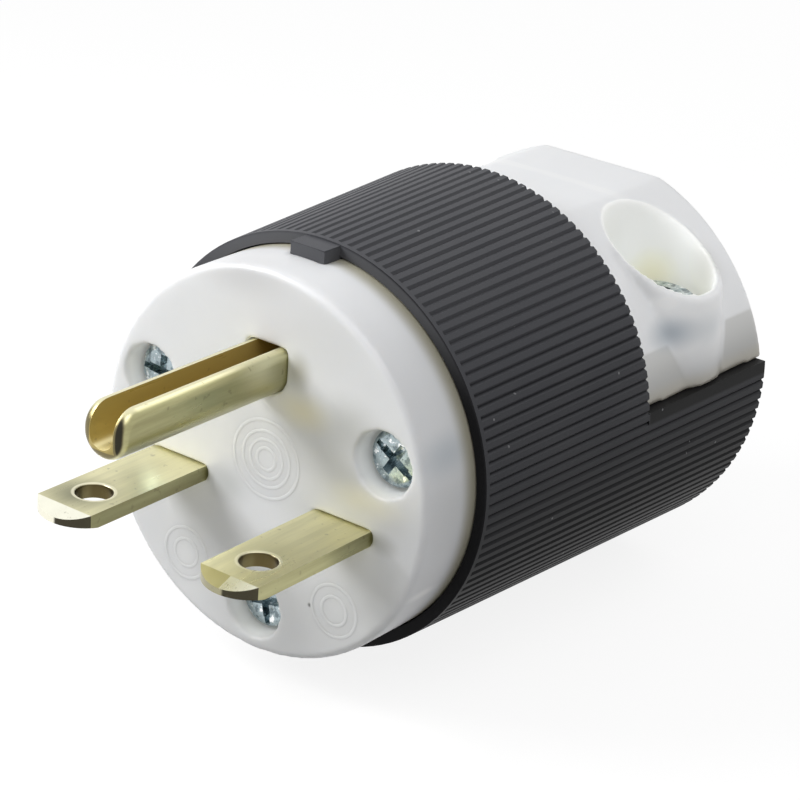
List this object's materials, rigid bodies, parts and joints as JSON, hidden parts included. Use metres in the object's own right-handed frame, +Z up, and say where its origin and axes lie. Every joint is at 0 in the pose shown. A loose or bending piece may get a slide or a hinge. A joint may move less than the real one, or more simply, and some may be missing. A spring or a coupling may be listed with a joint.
{
  "type": "industrial grounding plug",
  "caption": "Round wiring plug with flat coplanar blades, a folded ground pin, a ribbed black cover and an arched white cord clamp held by screws in towers.",
  "frame": {"origin": "centre of the plug's front face, where the blades leave the body", "axes": "-Y along the blades, away from the face; +Z up towards the ground pin and the cord clamp; +X to the right seen from in front of the face"},
  "size_m": [0.0428, 0.0728, 0.042],
  "materials": {
    "white_nylon": "satin",
    "black_nylon": "satin",
    "block": "matte",
    "brass": "polished",
    "zinc_steel": "satin",
    "brass_plate": "satin",
    "green_screw": "satin"
  },
  "bodies": {
    "root": {"front_body": "white_nylon", "cover": "black_nylon", "cord_clamp": "white_nylon", "terminal_block": "block", "ground_pin": "brass", "line_blade_left": "brass", "line_blade_right": "brass", "pressure_plate_left": "brass_plate", "pressure_plate_right": "brass_plate", "pressure_plate_ground": "brass_plate", "terminal_screw_left": "brass_plate", "terminal_screw_right": "brass_plate", "terminal_screw_ground": "green_screw", "assembly_screw_left": "zinc_steel", "assembly_screw_right": "zinc_steel", "assembly_screw_lower": "zinc_steel", "clamp_screw_left": "zinc_steel", "clamp_screw_right": "zinc_steel", "clamp_nut_left": "zinc_steel", "clamp_nut_right": "zinc_steel"}
  },
  "joints": []
}
